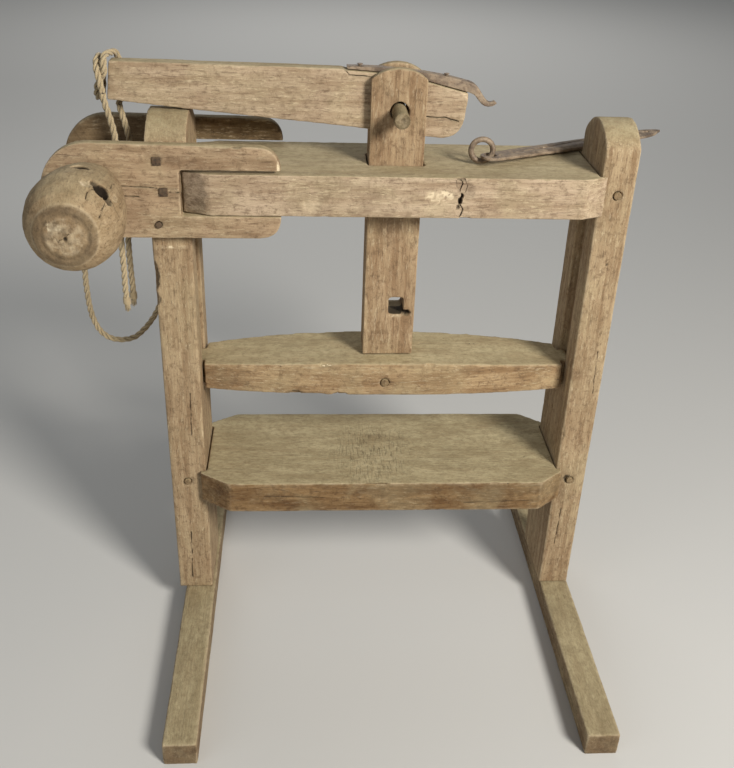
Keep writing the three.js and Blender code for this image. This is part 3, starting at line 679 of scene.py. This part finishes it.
def crack_line(corners, seed):
    """A line through CAD points in millimetres that wanders up to a millimetre sideways."""
    out = []
    for a, b in zip(np.array(corners[:-1], float), np.array(corners[1:], float)):
        s = np.linspace(0, 1, 10)[:, None]
        way = unit(b - a)
        p = a + (b - a) * s
        drift = np.column_stack([noise(p / 9 + 31 * k, seed) for k in range(3)])
        drift -= (drift @ way)[:, None] * way
        out.append(p + drift * np.sin(np.clip(s, 0.02, 0.98) * math.pi) ** 0.4)
    return np.array([at(*p) for p in np.vstack(out)])


MOST_EDGE_WEAR = 0.75  # an edge is rubbed, but not torn


def worn(node, body, material, axis="X", voxel=2.0, rounding=3, blunting=0.5, wave=0.5, ridge=0.25,
         dings=0.8, seed=1, cracks=(), chips=(), shade_boxes=(), shape=None):
    """Replaces a CAD node by a worn copy of itself, all of it inside the node's own solid.

    Lengths are in millimetres. A crack is (its corners, width, depth, which way its face looks). A chip is
    (middle, radii, way that the wood gives, depth, tint), and its tint is how dark it is, or below 0 how pale.
    shade_boxes is boxes that are dirty all over. shape gives how far to push in, how dirty and how rubbed.
    """
    mesh = fine_mesh(node, voxel * MM)
    lines = [crack_line(c[0], seed + i) for i, c in enumerate(cracks)]
    if lines:
        split_near(mesh, lines, max(5.0, 2.2 * voxel) * MM, 2)
    crisp = read_points(mesh)
    edges = np.empty(len(mesh.edges) * 2, np.int32)
    mesh.edges.foreach_get("vertices", edges)
    edges = edges.reshape(-1, 2)
    crisp = relaxed(crisp, edges, 0.5, 1)
    blunt = relaxed(crisp, edges, 0.55, rounding)
    where = crisp / MM
    uneven = ramp(fractal(where / 30, seed + 3), -0.2, 0.6)[:, None]
    points = crisp + (blunt - crisp) * blunting * (0.3 + 1.7 * uneven)
    write_points(mesh, points)
    normal = normals_of(mesh)
    edge = ((crisp - blunt) * normal).sum(1) / MM
    wear = 0.7 * ramp(edge, 0.1, 0.6)
    # Inner corners are darkened: painted shade where faces meet.
    dirt_and_shade = ramp(-edge, 0.12, 0.7) * 0.7

    push = wave * (0.5 + 0.5 * fractal(where / 80, seed + 5))
    push += ridge * (0.5 + 0.5 * fractal(where / np.array(CROSS[axis]), seed + 7))
    nick = ramp(noise(where / 8, seed + 11), 0.55, 0.9) * ramp(edge, 0.05, 0.4)
    chunk = ramp(noise(where / 26, seed + 13), 0.68, 0.92) * ramp(edge, 0.02, 0.3)
    push += dings * (0.8 * nick + 1.5 * chunk)
    wear = np.clip(wear + 0.3 * nick, 0, MOST_EDGE_WEAR)
    moved = np.zeros_like(points)
    for i, ((_, width, deep, facing), line) in enumerate(zip(cracks, lines)):
        away = distance_to(points, line)
        half = width * MM * (0.55 + 0.25 * noise(where / 10, seed + 40 + i))
        inside = ramp(away, half, half * 0.35) * ramp(normal @ np.array(facing, float), 0.3, 0.7)
        push += deep * inside
        # Painted shade: the crack's floor is darkened almost black, and the wood beside it a little.
        dirt_and_shade = np.maximum(dirt_and_shade, inside * 0.95)
        dirt_and_shade = np.maximum(dirt_and_shade, 0.22 * ramp(away, half * 3.0, half))
    for i, (centre, radii, way, deep, tint) in enumerate(chips):
        gap = (points - at(*centre)) / (np.array(radii) * MM)
        away = np.linalg.norm(gap, axis=1) + 0.3 * fractal(where / 5, seed + 60 + i)
        inside = ramp(away, 1.0, 0.7)
        moved += np.array(unit(np.array(way, float))) * (deep * MM * inside)[:, None]
        if tint > 0:
            dirt_and_shade = np.maximum(dirt_and_shade, tint * inside)
        else:
            speckled = inside * (0.55 + 0.45 * fractal(where / 3, seed + 70 + i))
            wear = np.maximum(wear, -tint * speckled * 1.6)
            dirt_and_shade = dirt_and_shade * (1 - 0.8 * inside)
    from_ram = where - (BOX_SHIFT_X, 0, 0)
    # Painted shade: every point inside a box is darkened, as deep in a hole.
    for low, high in shade_boxes:
        inside = ((from_ram > low) & (from_ram < high)).all(1)
        dirt_and_shade = np.maximum(dirt_and_shade, 0.85 * inside)
    if shape:
        more, stains_and_hole_shade, rubbed = shape(from_ram)
        push = push + more
        dirt_and_shade = np.maximum(dirt_and_shade, stains_and_hole_shade)
        wear = np.maximum(wear, rubbed)
    points = points - normal * (push * MM)[:, None] + moved
    write_points(mesh, points)
    for key, values in (("wear", np.clip(wear, 0, 1)), ("dirt_and_shade", np.clip(dirt_and_shade, 0, 1))):
        mesh.attributes.new(key, "FLOAT", "POINT").data.foreach_set("value", values.astype(np.float32))
    mesh.shade_smooth()
    mesh.materials.clear()
    mesh.materials.append(material)
    obj = bpy.data.objects.new(node + "_worn", mesh)
    bpy.context.scene.collection.objects.link(obj)
    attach(obj, body)
    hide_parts(node)


# ------------------------------------------------------------------ the woods
OAK_LIGHT, OAK_MID, OAK_DARK = tone(196, 173, 145), tone(162, 138, 111), tone(84, 63, 46)
POST = wood("post_oak", "Z", 1, tone(180, 156, 122), tone(144, 118, 88), tone(76, 57, 41), dust=0.7,
            stain=0.45, heart=(0.02, -0.09))
FOOT = wood("foot_oak", "Y", 2, tone(150, 128, 97), tone(117, 95, 69), tone(64, 48, 34), dust=0.72,
            stain=0.5, heart=(0.09, -0.03))
BED = wood("bed_oak", "X", 3, tone(142, 113, 76), tone(106, 78, 48), tone(58, 39, 25), dust=0.92, stain=0.7,
           heart=(-0.12, -0.12), fleck=0.22, scuff=((0.001, -0.015, 0.268), (0.09, 0.12, 0.05)), worm=0.02)
BEAM = wood("beam_oak", "X", 4, OAK_LIGHT, OAK_MID, OAK_DARK, dust=0.85, stain=0.4, heart=(0.05, -0.62),
            fleck=0.65, rub=0.85)
# A darker copy of the cheek wood, painting the shade the rear cheek stands in.
SHADED_REAR_CHEEK = wood("shaded_rear_cheek_oak", "X", 12, tone(136, 114, 84), tone(102, 82, 57), tone(56, 42, 29),
                  dust=0.45, stain=0.6, heart=(0.12, -0.66))
FOLLOWER = wood("follower_oak", "X", 5, tone(180, 152, 114), tone(142, 113, 80), OAK_DARK, dust=0.9,
                stain=0.5, heart=(0.02, -0.32), worm=0.06)
RAM = wood("ram_oak", "Z", 6, tone(180, 154, 120), tone(144, 116, 86), OAK_DARK, dust=0.6, stain=0.5,
           heart=(0.05, -0.03))
LEVER = wood("lever_oak", "X", 7, tone(194, 171, 142), tone(162, 138, 110), OAK_DARK, dust=0.8, stain=0.3,
             heart=(0.02, -0.72), rub=0.7, fleck=0.65)
CHEEK = wood("cheek_oak", "X", 8, tone(184, 158, 126), tone(146, 120, 92), OAK_DARK, dust=0.8, stain=0.4,
             heart=(0.12, -0.66), rub=0.7)
ELM = wood("windlass_elm", "Y", 9, tone(176, 152, 118), tone(148, 124, 92), tone(78, 60, 42), dust=0.3,
           stain=0.5, heart=(0.37, -0.7056), rub=0.9, fleck=0.2)
PEG = wood("peg_oak", "Y", 10, tone(168, 144, 108), tone(132, 108, 78), tone(66, 50, 35), dust=0.4,
           stain=0.4)
PIN = wood("pin_oak", "Y", 11, tone(138, 120, 88), tone(106, 88, 62), tone(54, 42, 29), dust=0.5, stain=0.5)
IRON = iron("forged_iron", tone(116, 99, 83), tone(164, 145, 122))
NAIL_IRON = iron("nail_iron", tone(62, 50, 40), tone(108, 90, 70))

UP, FRONT, BACK = (0, 0, 1), (0, -1, 0), (0, 1, 0)

# The windlass head's turned shape, as (radius, Y), and what is cut or worn into its end.
HEAD_PROFILE = [
    (34, -80), (38, -84), (45.5, -108), (52.5, -138), (57, -168), (58, -188), (54, -210), (47, -226),
    (38, -236),
]
HEAD_END, HEAD_START, END_RADIUS = -236, -78, 38
END_RINGS = ((26.5, 1.8, 0.9), (10, 1.4, 0.4))  # radius, width and depth of each turned line
BODY_RINGS, BODY_RING_WIDTH, BODY_RING_DEPTH = (-214, -176, -118, -98), 1.3, 0.15
PITH_DEPTH = 2.0


def head_radius(y):
    profile = np.array(HEAD_PROFILE)[::-1]
    return np.interp(y, profile[:, 1], profile[:, 0])


def on_head(degrees, y):
    """A point just under the windlass head's surface, at an angle up from the hook end's side."""
    radius = head_radius(y) - 0.4
    turn = math.radians(degrees)
    return SHAFT[0] + radius * math.cos(turn), y, SHAFT[1] + radius * math.sin(turn)


def ridge_line(x, middle, width):
    """1 at middle, falling away on both sides."""
    return np.exp(-((x - middle) / width) ** 2)


def head_marks(where):
    """Turned rings on the windlass head's end, a rough light middle, and handspike holes darkened inside as
    painted shade.
    """
    x, y, z = where[:, 0] - SHAFT[0], where[:, 1], where[:, 2] - SHAFT[1]
    radius = np.hypot(x, z)
    rough, swirl = fractal(where / 6, 91), fractal(where / 11, 93)
    on_end = ramp(y, HEAD_END + 0.5, HEAD_END - 2) * ramp(radius, END_RADIUS, END_RADIUS - 2)
    body = ramp(y, HEAD_END, HEAD_END + 11) * ramp(y, HEAD_START, HEAD_START - 10)
    pith = on_end * ramp(np.hypot(x - 1, (z + 1.5) / 1.3), 3.2, 1.0)
    hole = ramp(head_radius(y) - radius, 1.2, 4.0) * ramp(y, HEAD_END, HEAD_END + 4) \
        * ramp(y, HEAD_START - 4, HEAD_START - 8)

    push = on_end * (0.5 + 0.5 * rough) * 0.6
    for ring, width, deep in END_RINGS:
        push = push + on_end * deep * ridge_line(radius + 1.5 * rough, ring, width)
    push = push + PITH_DEPTH * pith
    for ring in BODY_RINGS:
        push = push + body * BODY_RING_DEPTH * ridge_line(y, ring, BODY_RING_WIDTH)

    annulus = on_end * ramp(radius + 2 * rough, 25, 27) * (0.7 + 0.3 * rough)
    groove = on_end * ridge_line(radius + 1.5 * rough, 26.5, 1.6)
    # Real stains on the end, and the handspike holes darkened inside: painted shade.
    stains_and_hole_shade = np.max([
        0.92 * hole, 0.9 * pith, 0.42 * annulus, 0.32 * groove, 0.3 * on_end * ramp(swirl, 0.05, 0.3),
    ], axis=0)
    middle = on_end * ramp(radius + 3 * rough, 24, 21) * ramp(rough, -0.5, 0.2)
    rim = ridge_line(y, HEAD_START - 5, 2.5) \
        + 0.7 * ridge_line(radius, END_RADIUS - 0.5, 1.5) * ramp(y, HEAD_END + 2, HEAD_END)
    return push, stains_and_hole_shade, np.clip(0.45 * middle + 0.5 * rim, 0, 1) * (1 - hole) * (1 - pith)


def build_woods():
    worn("left_foot", "frame", FOOT, "Y", 2.6, wave=0.7, ridge=0.4, dings=1.2, seed=101)
    worn("right_foot", "frame", FOOT, "Y", 2.6, wave=0.7, ridge=0.4, dings=1.2, seed=102)
    worn(
        "left_post", "frame", POST, "Z", 2.4, wave=0.6, ridge=0.35, seed=103,
        cracks=[
            ([(-300, -62, 60), (-297, -62, 150)], 1.3, 2.5, FRONT),
            ([(-286, -62, 330), (-284, -62, 400)], 1.0, 1.6, FRONT),
        ],
        chips=[
            ((-323, -62, 582), (8, 9, 22), (1, 0.4, 0), 4.5, 0.3),
            ((-322, -62, 548), (6, 7, 12), (1, 0.4, 0), 2.6, 0.2),
            ((-295, -62, 624), (26, 5, 3.6), (0, -1, 0), 0.5, -0.9),
            ((-268, -62, 470), (4, 4, 22), (-1, 1, 0), 1.6, -0.4),
        ],
    )
    worn(
        "right_post", "frame", POST, "Z", 2.4, wave=0.6, ridge=0.35, seed=104,
        cracks=[
            ([(300, -62, 470), (303, -62, 400)], 1.0, 1.8, FRONT),
            ([(282, -62, 120), (284, -62, 190)], 1.2, 2.0, FRONT),
        ],
        chips=[
            ((266, -62, 330), (4, 4, 16), (1, 1, 0), 1.8, -0.5),
            ((292.2, -62, 604), (2.2, 5, 2.6), (0, 1, 0), 3.0, 0.95),
            ((284.5, -62, 247), (5, 5, 7), (0, 1, 0), 2.6, 0.8),
        ],
    )
    worn(
        "bed_board", "frame", BED, "X", 2.6, wave=0.8, ridge=0.3, dings=1.0, seed=105,
        cracks=[
            ([(-27, -98.5, 268), (1, -99.5, 268)], 2.2, 2.6, UP),
            ([(-180, -101, 246), (-90, -101, 243)], 1.0, 1.6, FRONT),
            ([(120, -101, 232), (225, -101, 235)], 1.0, 1.6, FRONT),
        ],
        chips=[
            ((-5, -101, 266), (14, 5, 3), (0, 1, -1), 1.6, -0.7),
            ((222, -30.5, 268), (2.0, 2.0, 5), (0, 0, -1), 3.0, 0.95),
            ((165, -101, 268), (10, 4, 4), (0, 1, -1), 1.6, -0.3),
        ],
    )
    worn(
        "head_beam", "frame", BEAM, "X", 2.0, wave=0.6, ridge=0.3, dings=0.8, seed=106,
        cracks=[
            ([(-215, -69, 728), (30, -70, 728)], 1.2, 1.8, UP),
            ([(-190, -64, 728), (20, -64.5, 728)], 1.0, 1.5, UP),
            ([(78.6, -78.5, 728), (81.8, -78.5, 720), (78.6, -78.5, 712), (82.6, -78.5, 704),
              (79, -78.5, 695), (84, -78.5, 686), (80.6, -78.5, 675)], 1.3, 3.0, FRONT),
            ([(84, -78.5, 727), (88, -78.5, 717), (85, -78.5, 708)], 0.9, 1.6, FRONT),
            ([(73, -78.5, 724), (74.5, -78.5, 716)], 0.8, 1.4, FRONT),
            ([(60, -40, 728), (150, -37, 728)], 1.0, 1.4, UP),
        ],
        chips=[
            ((80.0, -78.5, 697), (3.4, 7, 5.5), (0, 1, 0), 4.5, 0.95),
            ((82.2, -78.5, 704), (2.6, 6, 4.2), (0, 1, 0), 3.5, 0.9),
            ((78, -78.5, 689), (2.2, 5, 4), (0, 1, 0), 2.0, 0.7),
            ((90, -78.5, 710), (11, 5, 13), (0, 1, 0), 0.5, 0.22),
            ((54, -78.5, 703), (24, 5, 9), (0, 1, 0), 1.5, -1.0),
            ((-110, -78.5, 690), (15, 5, 12), (0, 1, 0), 1.2, -0.5),
            ((-70, -78.5, 712), (10, 5, 5), (0, 1, 0), 0.8, -0.6),
            ((79, -78.5, 728), (7, 5, 4), (0, 1, -1), 2.4, 0.4),
            ((-262, -72, 700), (22, 16, 40), (0, 1, 0), 0.1, 0.4),
            ((88, -78.5, 674), (9, 5, 4), (0, 1, 1), 1.6, -0.6),
        ],
    )
    worn(
        "follower", "ram", FOLLOWER, "X", 2.2, wave=0.7, ridge=0.3, dings=1.0, seed=107,
        cracks=[
            ([(-250, -46, 421), (-170, -51, 424)], 1.0, 1.6, FRONT),
            ([(52, 12, 444), (130, 15, 441)], 1.0, 1.4, UP),
        ],
        chips=[
            ((-134, -53, 392), (15, 8, 7), (0, 1, 1), 4.2, 0.3),
            ((-69, -54, 392), (13, 7, 5), (0, 1, 1), 3.4, 0.3),
            ((-91, -54, 443.5), (13, 7, 4), (0, 1, -1), 2.6, -0.95),
            ((60, -54, 442.5), (9, 5, 4), (0, 1, -1), 1.8, -0.6),
            ((-190, -50, 438), (12, 4, 4), (0, 1, -1), 1.6, 0.2),
        ],
    )
    worn(
        "ram", "ram", RAM, "Z", 1.8, wave=0.5, ridge=0.3, dings=1.0, seed=108,
        chips=[
            ((23.5, -25.5, 512), (7.5, 10, 4.6), (0, 1, 0), 8.0, 0.95),
            ((36, -25.5, 470), (4, 4, 18), (-1, 1, 0), 1.8, -0.6),
            ((0, -25.5, 851), (20, 4, 4), (0, 1, -1), 1.4, -0.6),
            ((9, -25.5, 508), (13, 4, 3), (0, 1, -1), 1.2, -0.8),
        ],
        # The front and bottom of the ram's square hole are darkened: painted shade.
        shade_boxes=[
            ((-2, -24, 509), (20.5, 2, 519)),
        ],
    )
    worn(
        "lever", "lever", LEVER, "X", 1.9, wave=0.6, ridge=0.3, dings=0.9, seed=109,
        cracks=[
            ([(38, -12, 788), (62, -12, 787.5), (80, -12, 782.5)], 1.3, 3.0, FRONT),
            ([(-69, -12, 844.5), (-64, -12, 839), (-33, -12, 837)], 1.3, 2.6, FRONT),
            ([(-260, 0, 849), (-180, 2, 848)], 0.9, 1.2, UP),
        ],
        chips=[
            ((-200, -12, 848.5), (34, 4, 3), (0, 1, -1), 1.2, -0.6),
            ((90, -12, 818), (6, 5, 6), (-1, 1, -1), 2.0, -0.6),
        ],
    )
    worn(
        "front_cheek", "frame", CHEEK, "X", 1.8, wave=0.45, ridge=0.3, dings=0.9, seed=110,
        cracks=[
            ([(-352, -78.3, 711.7), (-306, -78.3, 709)], 1.2, 2.4, FRONT),
            ([(-291, -78.3, 703.8), (-277, -78.3, 704)], 1.3, 2.6, FRONT),
            ([(-350, -78.3, 698.2), (-329.5, -78.3, 697.7)], 1.3, 2.4, FRONT),
        ],
        chips=[
            ((-151, -78, 740), (4, 6, 14), (-1, 1, 0), 1.6, -0.95),
            ((-230, -78, 764), (26, 4, 3), (0, 1, -1), 1.4, -0.6),
            ((-205, -78, 764), (8, 4, 3), (0, 1, -1), 2.2, 0.4),
        ],
    )
    worn(
        "rear_cheek", "frame", SHADED_REAR_CHEEK, "X", 2.2, wave=0.45, ridge=0.3, dings=0.9, seed=111,
        cracks=[
            ([(-440, 78.3, 712), (-340, 78.3, 716)], 1.2, 2.2, BACK),
            ([(-290, 78.3, 705), (-277, 78.3, 704)], 1.2, 2.2, BACK),
        ],
    )
    worn(
        "windlass", "windlass", ELM, "Y", 1.9, rounding=2, wave=0.6, ridge=0.2, dings=0.8,
        seed=112, shape=head_marks,
        cracks=[
            ([on_head(a, y) for a, y in ((40, -206), (35, -214), (33, -222), (27, -230))], 1.4, 2.4,
             (0.8, -0.2, 0.5)),
            ([on_head(a, y) for a, y in ((44, -192), (40, -180), (41, -168), (37, -152))], 1.2, 2.2,
             (0.8, 0, 0.6)),
            ([on_head(a, y) for a, y in ((56, -206), (60, -216), (58, -226))], 1.2, 2.0, (0.5, -0.3, 0.8)),
            ([on_head(a, y) for a, y in ((32, -200), (22, -204), (10, -201))], 1.0, 1.6, (1, -0.1, 0.3)),
            ([(-386, -245, 705), (-382, -244.6, 709), (-380, -244.4, 710)], 0.8, 1.0, FRONT),
            ([(-386, -245, 705), (-391, -244.6, 703), (-393, -244.4, 700)], 0.8, 1.0, FRONT),
        ],
        chips=[
            (on_head(58, -196), (7, 6, 6), (-0.7, 0.1, -0.7), 2.2, 0.75),
            (on_head(35, -205), (6, 7, 8), (-0.7, 0, -0.7), 2.4, 0.7),
            ((-397, -243.5, 717), (12, 4, 7), (0, 1, 0), 0.5, -0.8),
            ((-375, -243.5, 693), (7, 4, 6), (0, 1, 0), 0.4, -0.6),
            (on_head(66, -203), (9, 8, 5), (-0.4, 0, -0.9), 1.0, -0.8),
            (on_head(30, -190), (4, 9, 7), (-0.9, 0, -0.4), 0.9, -0.7),
        ],
    )
    for node in ("bed_peg_left", "bed_peg_right", "beam_peg_left", "beam_peg_right"):
        worn(node, "frame", PEG, "Y", 0.9, 2, 0.4, 0.2, 0.2, 0.3, seed=113)
    worn("follower_peg", "ram", PEG, "Y", 0.9, 2, 0.4, 0.2, 0.2, 0.3, seed=114)
    worn(
        "lever_pin", "lever_pin", PIN, "Y", 1.1, 2, 0.5, 0.4, 0.3, 0.5, seed=115,
        chips=[
            ((1, -71, 797), (3, 4, 3), (0, 1, 0), 1.6, 0.9),
            ((1, -71, 797), (9, 3, 9), (0, 1, 0), 0.2, -0.5),
        ],
    )
    worn("windlass_peg", "windlass", PEG, "Z", 0.9, 2, 0.4, 0.2, 0.2, 0.3, seed=116)


def build_irons():
    for i, node in enumerate([f"{s}_cheek_nail_{k}" for s in ("front", "rear") for k in (1, 2, 3)]):
        worn(node, "frame", NAIL_IRON, "Y", 0.6, 1, 0.6, 0.3, 0.15, 0.4, seed=130 + i)
    for i, node in enumerate(("hook_nail_1", "hook_nail_2")):
        worn(node, "lever", IRON, "Z", 0.5, 2, 0.8, 0.4, 0.1, 0.3, seed=140 + i)
    worn("lever_hook", "lever", IRON, "X", 1.0, 2, 0.5, 0.35, 0.2, 0.35, seed=142)
    worn("link_bar", "link", IRON, "X", 0.9, 1, 0.5, 0.3, 0.15, 0.3, seed=143)
    worn("link_ring", "ring", IRON, "X", 0.8, 1, 0.5, 0.25, 0.2, 0.3, seed=144)


build_woods()
build_irons()


# ------------------------------------------------------------------ floor and light
def plain(name, colour, roughness):
    t = Tree(name)
    t.put(t.shader.inputs["Base Color"], colour)
    t.put(t.shader.inputs["Roughness"], roughness)
    return t.material


FLOOR_SIDE = 28.0


def make_stage():
    half = FLOOR_SIDE / 2
    floor = mesh_object(
        "floor", [(-half, -half, 0), (half, -half, 0), (half, half, 0), (-half, half, 0)], [(0, 1, 2, 3)],
        plain("floor_paper", tone(205, 203, 198), 0.9),
    )


def area_light(name, place, aim, size, power, colour=(1, 1, 1)):
    """A round soft light; size is in metres and power in watts."""
    data = bpy.data.lights.new(name, "AREA")
    data.shape = "DISK"
    data.size = size
    data.energy = power
    data.color = colour
    light = bpy.data.objects.new(name, data)
    light.location = place
    light.rotation_mode = "QUATERNION"
    light.rotation_quaternion = (Vector(aim) - Vector(place)).to_track_quat("-Z", "Y")
    bpy.context.scene.collection.objects.link(light)


make_stage()
MIDDLE = (0.0, 0.0, 0.5)
area_light("key", (1.45, -2.05, 2.0), MIDDLE, 0.8, 96, (1.0, 0.975, 0.93))
area_light("fill", (-2.2, -1.9, 1.4), MIDDLE, 1.8, 10, (0.94, 0.97, 1.0))
area_light("far_floor", (0.3, 5.2, 3.2), (0.3, 4.8, 0.0), 3.0, 60)
area_light("back", (-0.8, 2.3, 2.2), MIDDLE, 1.4, 9, (0.96, 0.98, 1.0))
world = bpy.data.worlds.new("studio")
world.use_nodes = True
background = world.node_tree.nodes["Background"]
background.inputs["Color"].default_value = (0.9, 0.95, 1.0, 1.0)
background.inputs["Strength"].default_value = 0.17
bpy.context.scene.world = world
bpy.context.scene.view_settings.view_transform = "Standard"
